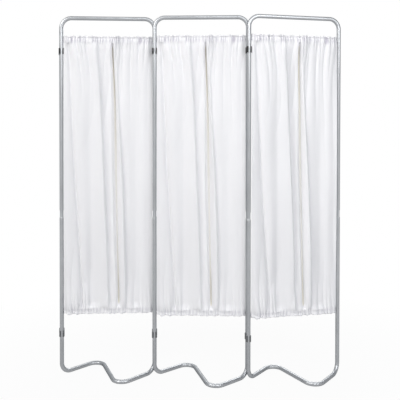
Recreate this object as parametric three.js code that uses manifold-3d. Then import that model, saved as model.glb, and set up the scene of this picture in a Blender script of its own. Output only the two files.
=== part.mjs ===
// A three-panel folding privacy screen: tubular aluminium frames with wave-shaped feet,
// gathered curtains on rods, and push-on clips that hinge each panel to the next.
// Millimetres, +Z up. The origin is on the floor, under the middle of the centre panel's foot.

import * as THREE from 'three';
import { mergeVertices } from 'three/addons/utils/BufferGeometryUtils.js';
import Module from 'manifold-3d';

const wasm = await Module();
wasm.setup();

// Panel frame
const PANEL_HEIGHT = 1700;
const LEG_SPACING = 438;
const TUBE_RADIUS = 9.5;
const TUBE_WALL = 1.3;
const BEND_RADIUS = 48;

// Splice between the upper and the lower frame: a reduced neck slides into the upper tube
const SPLICE_HEIGHT = 784;
const NECK_SHOWN = 32;
const SHOULDER_LENGTH = 4;
const NECK_ENGAGEMENT = 46;
const RIVET_RISE = 14;
const RIVET_RADIUS = 1.6;
const RIVET_HEAD_RADIUS = 3.4;
const RIVET_HEAD_HEIGHT = 1.3;
const RIVET_TAIL_RADIUS = 2.4;
const RIVET_TAIL_LENGTH = 1.6;

// Foot: the tube waves back and forward across the floor, the same from either end
const FOOT_REACH = 150;
const footCornerShare = 0.371;

// Curtain rods, sprung into holes in the legs
const ROD_RADIUS = 4;
const ROD_END_INSET = 3;
const TOP_ROD_DROP = 114;
const BOTTOM_ROD_HEIGHT = 308;

// Curtain
const HEADER_RISE = 19;
const HEM_DROP = 15;
const POCKET_REACH = 12;
const POCKET_FLAT = 4;
const CLOTH_THICKNESS = 1.6;
const FOLD_DEPTH = 10;
const PUCKER_DEPTH = 3.5;
const CURTAIN_SIDE_GAP = 1.2;

// Push-on clips, two open jaws back to back
const CLIP_SPACING = 36;
const CLIP_HEIGHT = 28;
const CLIP_WALL = 2.6;
const CLIP_BRIDGE = 9;
const LIP_FLARE = 0.9;
const UPPER_CLIP_DROP = 165;
const LOWER_CLIP_HEIGHT = 198;
const JAW_OPENING = THREE.MathUtils.degToRad(60);
const LIP_TURN = THREE.MathUtils.degToRad(8);

// Fits
const FIT_GAP = 0.3;
const CLIP_CLEARANCE = 0.8;
const OVERRUN = 4;
const BLOCK_DEPTH = 40;

// The pose that the screen stands in: how far the clips and the outer panels are turned
const SEAM_TURN = THREE.MathUtils.degToRad(8);
const OUTER_CLIP_TURN = THREE.MathUtils.degToRad(17.5);
const PANEL_1_TURN = THREE.MathUtils.degToRad(5.4);
const PANEL_3_TURN = THREE.MathUtils.degToRad(13.6);

// Facets
const TUBE_SIDES = 16;
const BORE_SIDES = 10;
const ROD_SIDES = 12;
const BEND_STEP = THREE.MathUtils.degToRad(13);
const JAW_STEP = THREE.MathUtils.degToRad(22);

// Sizes that follow
const BORE_RADIUS = TUBE_RADIUS - TUBE_WALL;
const NECK_RADIUS = BORE_RADIUS - FIT_GAP;
const NECK_BORE_RADIUS = NECK_RADIUS - TUBE_WALL;
const TUBE_FLAT = TUBE_RADIUS * Math.cos(Math.PI / TUBE_SIDES);
const HALF_SPACING = LEG_SPACING / 2;
const SHOULDER_TOP = SPLICE_HEIGHT - NECK_SHOWN;
const JAW_INNER = (TUBE_RADIUS + FIT_GAP) / Math.cos(JAW_STEP / 2);
const JAW_OUTER = JAW_INNER + CLIP_WALL;
const UPPER_CLIP_HEIGHT = PANEL_HEIGHT - UPPER_CLIP_DROP;
const TOP_ROD_HEIGHT = PANEL_HEIGHT - TOP_ROD_DROP;

// Materials

const aluminium = () => new THREE.MeshStandardMaterial({ color: 0xb8bec1, roughness: 0.34, metalness: 0.9 });
const steel = () => new THREE.MeshStandardMaterial({ color: 0xc9cbcc, roughness: 0.4, metalness: 0.9 });
const blackPlastic = () => new THREE.MeshStandardMaterial({ color: 0x1d1e20, roughness: 0.5, metalness: 0 });
const whiteCloth = () => new THREE.MeshStandardMaterial({ color: 0xf0eff3, roughness: 0.9, metalness: 0 });

// Solids

/** The closed solid of a geometry, ready to be joined or cut. */
function solidOf(geometry) {
  const bare = geometry.index ? geometry.clone() : geometry;
  bare.deleteAttribute('normal');
  bare.deleteAttribute('uv');
  const merged = mergeVertices(bare);
  return new wasm.Manifold(new wasm.Mesh({
    numProp: 3,
    vertProperties: new Float32Array(merged.attributes.position.array),
    triVerts: new Uint32Array(merged.index.array),
  }));
}

/** The geometry of a solid. */
function geometryOf(solid) {
  const mesh = solid.getMesh();
  const geometry = new THREE.BufferGeometry();
  geometry.setAttribute('position', new THREE.BufferAttribute(mesh.vertProperties, 3));
  geometry.setIndex(new THREE.BufferAttribute(mesh.triVerts, 1));
  geometry.computeVertexNormals();
  return geometry;
}

/** A geometry with others cut away from it. */
function cut(geometry, tools) {
  return geometryOf(tools.reduce((solid, tool) => solid.subtract(solidOf(tool)), solidOf(geometry)));
}

// Paths and sections

/** Straight runs joined by circular bends, swept only at the ends of runs and at even steps in bends. */
class BentPath extends THREE.Curve {
  constructor(corners, radius) {
    super();
    this.stations = bentStations(corners, radius);
    this.steps = this.stations.length - 1;
  }

  getPointAt(t) {
    return this.stations[Math.round(t * this.steps)].point.clone();
  }

  getTangentAt(t) {
    return this.stations[Math.round(t * this.steps)].tangent.clone();
  }
}

function bentStations(corners, radius) {
  const runs = corners.slice(1).map((corner, i) => corner.clone().sub(corners[i]).normalize());
  const stations = [{ point: corners[0], tangent: runs[0] }];
  for (let i = 1; i < runs.length; i += 1) {
    stations.push(...bendStations(corners[i], runs[i - 1], runs[i], radius));
  }
  stations.push({ point: corners.at(-1), tangent: runs.at(-1) });
  return stations;
}

/** The stations of the bend that rounds off a corner, or the corner itself where the path runs straight. */
function bendStations(corner, before, after, radius) {
  const turn = before.angleTo(after);
  if (turn < BEND_STEP / 2) return [{ point: corner, tangent: before }];
  const axis = before.clone().cross(after).normalize();
  const inward = axis.clone().cross(before);
  const start = corner.clone().addScaledVector(before, -radius * Math.tan(turn / 2));
  const centre = start.clone().addScaledVector(inward, radius);
  const count = Math.max(2, Math.round(turn / BEND_STEP));
  return Array.from({ length: count + 1 }, (_, i) => {
    const angle = (turn * i) / count;
    return {
      point: start.clone().sub(centre).applyAxisAngle(axis, angle).add(centre),
      tangent: before.clone().applyAxisAngle(axis, angle),
    };
  });
}

/** The corners of a regular polygon with one flat facing the angle given. */
function polygon(sides, cornerRadius, facing) {
  return Array.from({ length: sides }, (_, i) => {
    const angle = facing + ((i + 0.5) / sides) * Math.PI * 2;
    return new THREE.Vector2(cornerRadius * Math.cos(angle), cornerRadius * Math.sin(angle));
  });
}

/** The corner radius of a bore's polygon, which lies outside the true bore. */
const boreCornerRadius = (radius, sides) => radius / Math.cos(Math.PI / sides);

/** A tube of the frames along a path, open at both ends. */
function tubeAlong(path, facing) {
  const section = new THREE.Shape(polygon(TUBE_SIDES, TUBE_RADIUS, facing));
  const boreCorners = polygon(BORE_SIDES, boreCornerRadius(BORE_RADIUS, BORE_SIDES), facing);
  section.holes.push(new THREE.Path(boreCorners));
  return new THREE.ExtrudeGeometry(section, { steps: path.steps, extrudePath: path });
}

/** A straight cutter or pin about an axis through a point. */
function barrel(radius, sides, from, to) {
  const along = to.clone().sub(from);
  const geometry = new THREE.CylinderGeometry(radius, radius, along.length(), sides);
  const up = new THREE.Vector3(0, 1, 0);
  geometry.applyQuaternion(new THREE.Quaternion().setFromUnitVectors(up, along.normalize()));
  const middle = from.clone().add(to).multiplyScalar(0.5);
  return geometry.translate(middle.x, middle.y, middle.z);
}

// Frame pieces

/** The hole in a leg's inner wall that takes a rod's end. side is -1 for the left leg, 1 for the right. */
function rodHole(side, height) {
  const onAxis = new THREE.Vector3(side * HALF_SPACING, 0, height);
  const inside = new THREE.Vector3(side * (HALF_SPACING - TUBE_RADIUS - OVERRUN), 0, height);
  return barrel(boreCornerRadius(ROD_RADIUS + FIT_GAP, ROD_SIDES), ROD_SIDES, onAxis, inside);
}

/** The hole through a leg's back wall that takes a splice rivet. */
function rivetHole(side) {
  const height = SPLICE_HEIGHT + RIVET_RISE;
  const onAxis = new THREE.Vector3(side * HALF_SPACING, 0, height);
  const behind = new THREE.Vector3(side * HALF_SPACING, TUBE_RADIUS + OVERRUN, height);
  return barrel(boreCornerRadius(RIVET_RADIUS + FIT_GAP, ROD_SIDES), ROD_SIDES, onAxis, behind);
}

function upperFrame() {
  const barHeight = PANEL_HEIGHT - TUBE_FLAT;
  const corners = [
    new THREE.Vector3(-HALF_SPACING, 0, SPLICE_HEIGHT),
    new THREE.Vector3(-HALF_SPACING, 0, barHeight),
    new THREE.Vector3(HALF_SPACING, 0, barHeight),
    new THREE.Vector3(HALF_SPACING, 0, SPLICE_HEIGHT),
  ];
  const frame = tubeAlong(new BentPath(corners, BEND_RADIUS), 0);
  const holes = [-1, 1].flatMap((side) => [rodHole(side, TOP_ROD_HEIGHT), rivetHole(side)]);
  return cut(frame, holes);
}

/** The corners of the foot on the floor, from the left leg to the right one. */
function footCorners() {
  const cornerX = HALF_SPACING - footCornerShare * LEG_SPACING;
  return [
    new THREE.Vector3(-HALF_SPACING, 0, TUBE_FLAT),
    new THREE.Vector3(-cornerX, FOOT_REACH, TUBE_FLAT),
    new THREE.Vector3(cornerX, -FOOT_REACH, TUBE_FLAT),
    new THREE.Vector3(HALF_SPACING, 0, TUBE_FLAT),
  ];
}

/** Draws the tube in to its neck above the shoulder, about each leg's axis. */
function reduceNecks(geometry) {
  const position = geometry.attributes.position;
  const between = (TUBE_RADIUS + BORE_RADIUS) / 2;
  for (let i = 0; i < position.count; i += 1) {
    if (position.getZ(i) < SHOULDER_TOP - SHOULDER_LENGTH / 2) continue;
    const axisX = Math.sign(position.getX(i)) * HALF_SPACING;
    const x = position.getX(i) - axisX;
    const y = position.getY(i);
    const outer = Math.hypot(x, y) > between;
    const scale = outer ? NECK_RADIUS / TUBE_RADIUS : NECK_BORE_RADIUS / BORE_RADIUS;
    position.setXY(i, axisX + x * scale, y * scale);
  }
}

function lowerFrame() {
  const foot = footCorners();
  const heights = [SPLICE_HEIGHT + NECK_ENGAGEMENT, SHOULDER_TOP, SHOULDER_TOP - SHOULDER_LENGTH];
  const leftLeg = heights.map((height) => new THREE.Vector3(-HALF_SPACING, 0, height));
  const rightLeg = heights.map((height) => new THREE.Vector3(HALF_SPACING, 0, height)).reverse();
  const path = new BentPath([...leftLeg, ...foot, ...rightLeg], BEND_RADIUS);
  // The section starts with its x along -X and its y along +Y. The side of the leg that faces
  // away from the foot's first run is the one that ends up on the floor, so a flat is put there.
  const runIn = foot[1].clone().sub(foot[0]);
  const frame = tubeAlong(path, Math.atan2(-runIn.y, runIn.x));
  reduceNecks(frame);
  const holes = [-1, 1].flatMap((side) => [rodHole(side, BOTTOM_ROD_HEIGHT), rivetHole(side)]);
  return cut(frame, holes);
}

/** A blind rivet that pins the neck inside the upper tube, its head behind the leg. */
function spliceRivet(side) {
  const headFoot = TUBE_FLAT + FIT_GAP;
  const tailTop = Math.sqrt((NECK_BORE_RADIUS - FIT_GAP) ** 2 - RIVET_TAIL_RADIUS ** 2);
  const profile = [
    new THREE.Vector2(0, tailTop - RIVET_TAIL_LENGTH),
    new THREE.Vector2(RIVET_TAIL_RADIUS, tailTop - RIVET_TAIL_LENGTH),
    new THREE.Vector2(RIVET_TAIL_RADIUS, tailTop),
    new THREE.Vector2(RIVET_RADIUS, tailTop),
    new THREE.Vector2(RIVET_RADIUS, headFoot),
    new THREE.Vector2(RIVET_HEAD_RADIUS, headFoot),
    new THREE.Vector2(RIVET_HEAD_RADIUS / 2, headFoot + RIVET_HEAD_HEIGHT),
    new THREE.Vector2(0, headFoot + RIVET_HEAD_HEIGHT),
  ];
  const rivet = new THREE.LatheGeometry(profile, ROD_SIDES);
  return rivet.translate(side * HALF_SPACING, 0, SPLICE_HEIGHT + RIVET_RISE);
}

/** A curtain rod, whose ends lie a little way inside the legs. */
function curtainRod(height) {
  const halfLength = HALF_SPACING - BORE_RADIUS + ROD_END_INSET;
  const left = new THREE.Vector3(-halfLength, 0, height);
  const right = new THREE.Vector3(halfLength, 0, height);
  return barrel(ROD_RADIUS, ROD_SIDES, left, right);
}

// Curtain

// The curtain's fold lines from its left edge to its right one. Each has its place across the
// curtain at the top and at the bottom, and how far it stands to the front (above zero) or back.
const foldLines = [
  { topShare: 0, bottomShare: 0, frontShare: 0 },
  { topShare: 0.04, bottomShare: 0.09, frontShare: 0.25 },
  { topShare: 0.07, bottomShare: 0.2, frontShare: -0.55 },
  { topShare: 0.13, bottomShare: 0.24, frontShare: 0.55 },
  { topShare: 0.22, bottomShare: 0.3, frontShare: 0.05 },
  { topShare: 0.31, bottomShare: 0.4, frontShare: 0.6 },
  { topShare: 0.4, bottomShare: 0.5, frontShare: -0.5 },
  { topShare: 0.49, bottomShare: 0.56, frontShare: 0.6 },
  { topShare: 0.55, bottomShare: 0.61, frontShare: -1 },
  { topShare: 0.6, bottomShare: 0.67, frontShare: 0.85 },
  { topShare: 0.66, bottomShare: 0.71, frontShare: -0.35 },
  { topShare: 0.74, bottomShare: 0.77, frontShare: 0.4 },
  { topShare: 0.82, bottomShare: 0.83, frontShare: -0.3 },
  { topShare: 0.91, bottomShare: 0.92, frontShare: 0.45 },
  { topShare: 0.97, bottomShare: 0.97, frontShare: 0.1 },
  { topShare: 1, bottomShare: 1, frontShare: 0 },
];

// Rows of the curtain between its pockets: how far up the row is, and how deep its folds are.
const hangingRows = [
  { upShare: 0.1, foldShare: 0.75 },
  { upShare: 0.3, foldShare: 1 },
  { upShare: 0.55, foldShare: 1 },
  { upShare: 0.8, foldShare: 0.8 },
];

/** Rows of the curtain from the hem up: height, half thickness, depth of the folds and of the puckers. */
function curtainRows() {
  const thin = CLOTH_THICKNESS / 2;
  const full = ROD_RADIUS + FIT_GAP + CLOTH_THICKNESS;
  const row = (height, half, foldShare, puckerShare) => ({ height, half, foldShare, puckerShare });
  const hang = TOP_ROD_HEIGHT - BOTTOM_ROD_HEIGHT;
  const ruffleShare = 1;
  const seamShare = 0.6;
  const roundRodShare = 0.15;
  return [
    row(BOTTOM_ROD_HEIGHT - HEM_DROP, thin, 0, seamShare),
    row(BOTTOM_ROD_HEIGHT - POCKET_FLAT, full, 0, roundRodShare),
    row(BOTTOM_ROD_HEIGHT + POCKET_FLAT, full, 0, roundRodShare),
    row(BOTTOM_ROD_HEIGHT + POCKET_REACH, thin, 0, seamShare),
    ...hangingRows.map((hanging) => {
      return row(BOTTOM_ROD_HEIGHT + hanging.upShare * hang, thin, hanging.foldShare, 0);
    }),
    row(TOP_ROD_HEIGHT - POCKET_REACH, thin, 0, seamShare),
    row(TOP_ROD_HEIGHT - POCKET_FLAT, full, 0, roundRodShare),
    row(TOP_ROD_HEIGHT + POCKET_FLAT, full, 0, roundRodShare),
    row(TOP_ROD_HEIGHT + POCKET_REACH, thin, 0, seamShare),
    row(TOP_ROD_HEIGHT + HEADER_RISE, thin, 0, ruffleShare),
  ];
}

/** Where the curtain's columns are: one on each fold line and one on each slope between two of them. */
function curtainColumns() {
  return foldLines.flatMap((line, i) => {
    const next = foldLines[i + 1];
    if (!next) return [line];
    const mean = (key) => (line[key] + next[key]) / 2;
    return [line, {
      topShare: mean('topShare'),
      bottomShare: mean('bottomShare'),
      frontShare: mean('frontShare'),
    }];
  });
}

/** The gathered curtain: a pocket round each rod, a ruffle above the top one and long folds between. */
function curtain() {
  return cut(clothBlock(-1), [clothBlock(1), ...rodChannels(), ...clipNotches()]);
}

/**
 * A block whose front is one face of the hanging cloth: side is -1 for the cloth's front and 1 for
 * its back. The cloth is the first block less the second, so both its faces are creased alike.
 */
function clothBlock(side) {
  const halfWidth = HALF_SPACING - TUBE_RADIUS - CURTAIN_SIDE_GAP;
  const columns = curtainColumns();
  const rows = curtainRows();
  const last = columns.length - 1;
  const front = columns.map((_, i) => new THREE.Vector2(i, 0));
  const plan = new THREE.Shape([...front, new THREE.Vector2(last, 1), new THREE.Vector2(0, 1)]);
  const block = new THREE.ExtrudeGeometry(plan, {
    steps: rows.length - 1,
    depth: rows.length - 1,
    bevelEnabled: false,
  });
  const backY = BLOCK_DEPTH + side * OVERRUN;
  const position = block.attributes.position;
  for (let i = 0; i < position.count; i += 1) {
    const row = rows[Math.round(position.getZ(i))];
    const place = placeInCurtain(columns, Math.round(position.getX(i)), row, halfWidth);
    const isCloth = position.getY(i) === 0;
    position.setXYZ(i, place.x, isCloth ? place.y + side * row.half : backY, row.height);
  }
  return block;
}

/** The middle of the cloth where a column of the curtain meets a row. */
function placeInCurtain(columns, column, row, halfWidth) {
  const { topShare, bottomShare, frontShare } = columns[column];
  const up = (row.height - BOTTOM_ROD_HEIGHT) / (TOP_ROD_HEIGHT - BOTTOM_ROD_HEIGHT);
  const across = THREE.MathUtils.lerp(bottomShare, topShare, THREE.MathUtils.clamp(up, 0, 1));
  const isEdge = column === 0 || column === columns.length - 1;
  const pucker = isEdge ? 0 : PUCKER_DEPTH * row.puckerShare * (column % 2 ? 1 : -1);
  return {
    x: halfWidth * (2 * across - 1),
    y: pucker - FOLD_DEPTH * row.foldShare * frontShare,
  };
}

/** Cutters for the channels through the curtain's two pockets. */
function rodChannels() {
  return [TOP_ROD_HEIGHT, BOTTOM_ROD_HEIGHT].map((height) => barrel(
    boreCornerRadius(ROD_RADIUS + FIT_GAP, ROD_SIDES),
    ROD_SIDES,
    new THREE.Vector3(-HALF_SPACING, 0, height),
    new THREE.Vector3(HALF_SPACING, 0, height),
  ));
}

/** Cutters that press the curtain's edges back where the upper clips turn about the legs. */
function clipNotches() {
  const reach = JAW_OUTER + LIP_FLARE + CLIP_CLEARANCE;
  const halfHeight = CLIP_HEIGHT / 2 + CLIP_CLEARANCE;
  return [-HALF_SPACING, HALF_SPACING].map((x) => barrel(
    boreCornerRadius(reach, TUBE_SIDES),
    TUBE_SIDES,
    new THREE.Vector3(x, 0, UPPER_CLIP_HEIGHT - halfHeight),
    new THREE.Vector3(x, 0, UPPER_CLIP_HEIGHT + halfHeight),
  ));
}

// Clips

/** Points of a jaw's outline on an arc about its tube, from one angle to another. */
function jawArc(radius, from, to) {
  const count = Math.round(Math.abs(to - from) / JAW_STEP);
  return Array.from({ length: count + 1 }, (_, i) => jawPoint(radius, from + ((to - from) * i) / count));
}

/** A point of a jaw's outline, its angle counted from the middle of the mouth. */
function jawPoint(radius, angle) {
  return new THREE.Vector2(radius * Math.sin(angle), -CLIP_SPACING / 2 - radius * Math.cos(angle));
}

/** Half of the clip's outline: from the bridge round a jaw to its lip, back inside it, and round again. */
function jawOutline() {
  const bridge = Math.PI - Math.asin(CLIP_BRIDGE / 2 / JAW_OUTER);
  const lip = JAW_OPENING / 2;
  return [
    ...jawArc(JAW_OUTER, bridge, lip + 2 * LIP_TURN),
    jawPoint(JAW_OUTER + LIP_FLARE, lip + LIP_TURN),
    jawPoint(JAW_OUTER + LIP_FLARE, lip),
    ...jawArc(JAW_INNER, lip, 2 * Math.PI - lip),
    jawPoint(JAW_OUTER + LIP_FLARE, -lip),
    jawPoint(JAW_OUTER + LIP_FLARE, -lip - LIP_TURN),
    ...jawArc(JAW_OUTER, -lip - 2 * LIP_TURN, -bridge),
  ];
}

/** Two jaws joined by a bridge. The first jaw is about the origin and the second along +Y. */
function pushOnClip() {
  const half = jawOutline();
  const turned = half.map((point) => point.clone().multiplyScalar(-1));
  const geometry = new THREE.ExtrudeGeometry(new THREE.Shape([...half, ...turned]), {
    steps: 1,
    depth: CLIP_HEIGHT,
    bevelEnabled: false,
  });
  return geometry.translate(0, CLIP_SPACING / 2, -CLIP_HEIGHT / 2);
}

// Scene

function named(name, geometry, material) {
  const mesh = new THREE.Mesh(geometry, material);
  mesh.name = name;
  return mesh;
}

/** One panel: two frames, two rivets, two rods and a curtain. */
function panel(name) {
  const group = new THREE.Group();
  group.add(
    named(`${name}_upper_frame`, upperFrame(), aluminium()),
    named(`${name}_lower_frame`, lowerFrame(), aluminium()),
    named(`${name}_left_rivet`, spliceRivet(-1), aluminium()),
    named(`${name}_right_rivet`, spliceRivet(1), aluminium()),
    named(`${name}_top_rod`, curtainRod(TOP_ROD_HEIGHT), steel()),
    named(`${name}_bottom_rod`, curtainRod(BOTTOM_ROD_HEIGHT), steel()),
    named(`${name}_curtain`, curtain(), whiteCloth()),
  );
  return group;
}

/** The upper and the lower clip on one leg, placed at that leg's axis. */
function clipPair(name) {
  const group = new THREE.Group();
  const levels = { upper: UPPER_CLIP_HEIGHT, lower: LOWER_CLIP_HEIGHT };
  for (const [level, height] of Object.entries(levels)) {
    const clip = named(`${name}_${level}_clip`, pushOnClip(), blackPlastic());
    clip.position.z = height;
    group.add(clip);
  }
  return group;
}

function screen() {
  const group = new THREE.Group();
  const centre = new THREE.Vector2();
  const leftLeg = new THREE.Vector2(-HALF_SPACING, 0);
  const rightLeg = new THREE.Vector2(HALF_SPACING, 0);
  const seamStep = new THREE.Vector2(0, CLIP_SPACING).rotateAround(centre, SEAM_TURN);

  const seam1 = clipPair('seam_1');
  seam1.position.set(leftLeg.x, leftLeg.y, 0);
  seam1.rotation.z = SEAM_TURN;

  const panel1 = panel('panel_1');
  const panel1Right = leftLeg.clone().add(seamStep);
  const panel1Middle = panel1Right.add(leftLeg.clone().rotateAround(centre, PANEL_1_TURN));
  panel1.position.set(panel1Middle.x, panel1Middle.y, 0);
  panel1.rotation.z = PANEL_1_TURN;

  const outerClips = clipPair('outer');
  outerClips.position.set(leftLeg.x, leftLeg.y, 0);
  outerClips.rotation.z = OUTER_CLIP_TURN - PANEL_1_TURN;
  panel1.add(outerClips);

  const seam2 = clipPair('seam_2');
  const panel3Left = rightLeg.clone().sub(seamStep);
  seam2.position.set(panel3Left.x, panel3Left.y, 0);
  seam2.rotation.z = SEAM_TURN;

  const panel3 = panel('panel_3');
  const panel3Middle = panel3Left.add(rightLeg.clone().rotateAround(centre, PANEL_3_TURN));
  panel3.position.set(panel3Middle.x, panel3Middle.y, 0);
  panel3.rotation.z = PANEL_3_TURN;

  group.add(panel('panel_2'), seam1, panel1, seam2, panel3);
  return group;
}

export default screen();
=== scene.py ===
"""A three-panel folding privacy screen: bent tube frames, gathered curtains and push-on clips."""

import math
from collections import namedtuple

import bmesh
import bpy
from bpy.props import FloatProperty, FloatVectorProperty, IntProperty, PointerProperty
from mathutils import Matrix, Quaternion, Vector, noise


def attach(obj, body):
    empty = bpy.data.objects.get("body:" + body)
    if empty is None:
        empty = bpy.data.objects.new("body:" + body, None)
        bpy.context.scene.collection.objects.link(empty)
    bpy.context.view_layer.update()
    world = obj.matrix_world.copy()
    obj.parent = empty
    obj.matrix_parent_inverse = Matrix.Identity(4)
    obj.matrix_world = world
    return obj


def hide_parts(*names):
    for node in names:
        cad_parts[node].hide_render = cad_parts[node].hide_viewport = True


bl_info = {
    "name": "Folding Privacy Screen",
    "version": (1, 0, 0),
    "blender": (4, 5, 0),
    "location": "3D View > Sidebar > Screen",
    "description": "Tube frames, rods, rivets, push-on clips and gathered curtains of a folding screen",
    "category": "Add Mesh",
}

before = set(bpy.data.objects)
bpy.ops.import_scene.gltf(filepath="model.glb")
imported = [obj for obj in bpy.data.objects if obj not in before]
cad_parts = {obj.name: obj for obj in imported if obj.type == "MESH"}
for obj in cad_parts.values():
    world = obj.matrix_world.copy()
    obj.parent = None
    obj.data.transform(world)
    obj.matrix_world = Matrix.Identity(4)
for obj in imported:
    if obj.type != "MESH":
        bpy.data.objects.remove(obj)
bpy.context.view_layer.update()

UP = Vector((0, 0, 1))
WHITE = (1, 1, 1)


# Settings

def length(name, description, default):
    return FloatProperty(name=name, description=description, default=default, min=0, unit="LENGTH")


def share(name, description, default):
    return FloatProperty(name=name, description=description, default=default, min=0, max=1)


def angle(name, description, degrees):
    return FloatProperty(
        name=name, description=description, default=math.radians(degrees), subtype="ANGLE"
    )


def colour(name, description, default):
    return FloatVectorProperty(
        name=name, description=description, default=default, size=3, min=0, max=1, subtype="COLOR"
    )


class StandSettings(bpy.types.PropertyGroup):
    """How the three panels stand to each other"""
    seam_turn: angle("Seam turn", "Turn of the clips that join two panels", 8)
    panel_1_turn: angle("Left panel turn", "Turn of the left panel", 5.4)
    panel_3_turn: angle("Right panel turn", "Turn of the right panel", 13.6)
    outer_clip_turn: angle("Outer clip turn", "Turn of the clips on the outer leg", 17.5)


class FrameSizes(bpy.types.PropertyGroup):
    """Sizes of a panel's tube frame"""
    height: length("Height", "Height of a panel", 1.7)
    leg_spacing: length("Leg spacing", "Distance between the axes of a panel's legs", 0.438)
    tube_radius: length("Tube radius", "Outer radius of the tube", 0.0095)
    tube_wall: length("Tube wall", "Wall thickness of the tube", 0.0013)
    bend_radius: length("Bend radius", "Radius of the middle of a bend", 0.048)
    splice_height: length("Splice height", "Height of the lower end of the upper frame", 0.784)
    neck_shown: length("Neck shown", "Length of the reduced neck below the splice", 0.032)
    shoulder: length("Shoulder", "Length over which the tube is reduced", 0.004)
    neck_engagement: length("Neck engagement", "Length of neck inside the upper tube", 0.046)
    fit_gap: length("Fit gap", "Gap between two fitted pieces", 0.0003)
    foot_reach: length("Foot reach", "How far the foot's corners stand out", 0.15)
    foot_corner_share: share("Foot corner share", "Place of a foot corner along the panel", 0.371)
    rivet_rise: length("Rivet rise", "Height of a rivet above the splice", 0.014)
    rivet_radius: length("Rivet radius", "Radius of a rivet's head", 0.0034)
    rivet_height: length("Rivet height", "Height of a rivet's head", 0.0013)
    sides: IntProperty(name="Sides", description="Sides of a round tube", default=40, min=8)


class RodSizes(bpy.types.PropertyGroup):
    """Sizes of the curtain rods"""
    radius: length("Radius", "Radius of a rod", 0.004)
    end_inset: length("End inset", "Length of rod inside a leg's bore", 0.003)
    top_drop: length("Top drop", "Height of the top rod below the top of the panel", 0.114)
    bottom_height: length("Bottom height", "Height of the bottom rod", 0.308)
    end_rounding: length("End rounding", "Rounding of a rod's ends", 0.0006)


class ClipSizes(bpy.types.PropertyGroup):
    """Sizes of the push-on clips"""
    spacing: length("Spacing", "Distance between the axes of a clip's jaws", 0.036)
    height: length("Height", "Height of a clip", 0.028)
    wall: length("Wall", "Wall thickness of a jaw", 0.0026)
    bridge: length("Bridge", "Width of the bridge between the jaws", 0.009)
    lip_flare: length("Lip flare", "How far a jaw's lips stand out", 0.0009)
    opening: angle("Opening", "Angle of a jaw's mouth", 60)
    lip_turn: angle("Lip turn", "Angle that a lip's flare takes", 8)
    edge_rounding: length("Edge rounding", "Rounding of the moulded edges", 0.0005)
    upper_drop: length("Upper drop", "Height of the upper clips below the top of the panel", 0.165)
    lower_height: length("Lower height", "Height of the lower clips", 0.198)


class CurtainSizes(bpy.types.PropertyGroup):
    """Sizes of a gathered curtain"""
    cut_width: length("Cut width", "Width of the cloth before it is gathered", 0.452)
    thickness: length("Thickness", "Thickness of the cloth", 0.0006)
    header_rise: length("Header rise", "Height of the ruffle's edge above the top rod", 0.019)
    hem_drop: length("Hem drop", "Distance of the lower edge below the bottom rod", 0.015)
    pocket_reach: length("Pocket reach", "Distance from a rod to its pocket's seam", 0.012)
    side_gap: length("Side gap", "Gap between the cloth and a leg", 0.0013)
    fold_depth: length("Fold depth", "Depth of the long folds", 0.024)
    pucker_depth: length("Pucker depth", "Depth of the gathers at a rod", 0.0042)
    # Painted shade: how strongly the cloth's colour is darkened in the pinches at the top and bottom
    # rods
    top_pinch_shade: share("Top pinch shade", "How strongly the pinches at the top rod show", 0.9)
    hem_pinch_shade: share("Hem pinch shade", "How strongly the pinches at the bottom rod show", 0.4)
    side_hem: length("Side hem", "Width of the hem down each side", 0.012)
    stitch_pitch: length("Stitch pitch", "Length from stitch to stitch", 0.0032)
    stitch_width: length("Stitch width", "Width of a stitch", 0.0006)
    middle_hold: share("Middle hold", "How firmly the long folds keep their place while draped", 0.5)
    ragged_edge: length("Ragged edge", "Unevenness of the ruffle's edge and the hem", 0.0046)
    drape_limit: length("Drape limit", "How far the cloth may move while it is draped", 0.012)
    drape_steps: IntProperty(name="Drape steps", description="Steps of the draping", default=16, min=1)
    columns: IntProperty(name="Columns", description="Faces across the cloth", default=200, min=20)


class Finishes(bpy.types.PropertyGroup):
    """Colours of the finishes"""
    aluminium: colour("Aluminium", "Satin aluminium of the tubes", (0.45, 0.463, 0.48))
    metal_edge: colour("Metal edge", "Tint of metal that is seen at a low angle", (0.2, 0.22, 0.23))
    rivet: colour("Rivet", "Bright aluminium of the rivets", (0.66, 0.67, 0.68))
    steel: colour("Rod", "Plated steel of the rods", (0.6, 0.61, 0.62))
    plastic: colour("Plastic", "Moulded plastic of the upper clips", (0.012, 0.012, 0.013))
    # The lower clips get the same moulded plastic as the upper ones, in a lighter grey
    lower_clip_plastic: colour("Lower clip plastic", "Moulded plastic of the lower clips", (0.11, 0.115, 0.12))
    cloth: colour("Cloth", "White cloth of the curtains", (0.85, 0.848, 0.865))
    # Painted shade: a warmer grey that stands in for the shade down in the curtain's deepest fold
    painted_fold_shade: colour("Cloth in folds", "Cloth down in the deepest fold", (0.74, 0.705, 0.6))
    # Painted shade: a cooler grey that stands in for the shade in the pinches at a rod
    painted_pinch_shade: colour("Cloth in pinches", "Cloth in the pinches at a rod", (0.5, 0.485, 0.55))
    thread: colour("Thread", "Sewing thread of the seams", (0.74, 0.74, 0.77))
    floor: colour("Floor", "Studio floor", (0.46, 0.46, 0.46))


# Measures and places

def limited(value, low, high):
    return min(max(value, low), high)


def eased(part):
    """0 to 1 with a gentle start and end."""
    part = limited(part, 0, 1)
    return part * part * (3 - 2 * part)


def at(x, y, z):
    return Vector((x, y, z))


def turned_place(point, turn):
    return Matrix.Translation(point) @ Matrix.Rotation(turn, 4, UP)


def across_seam(scene):
    """From a panel's leg to the neighbouring panel's, through the clip that holds both."""
    return Matrix.Rotation(scene.screen_stand.seam_turn, 3, UP) @ at(0, scene.screen_clips.spacing, 0)


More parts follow.
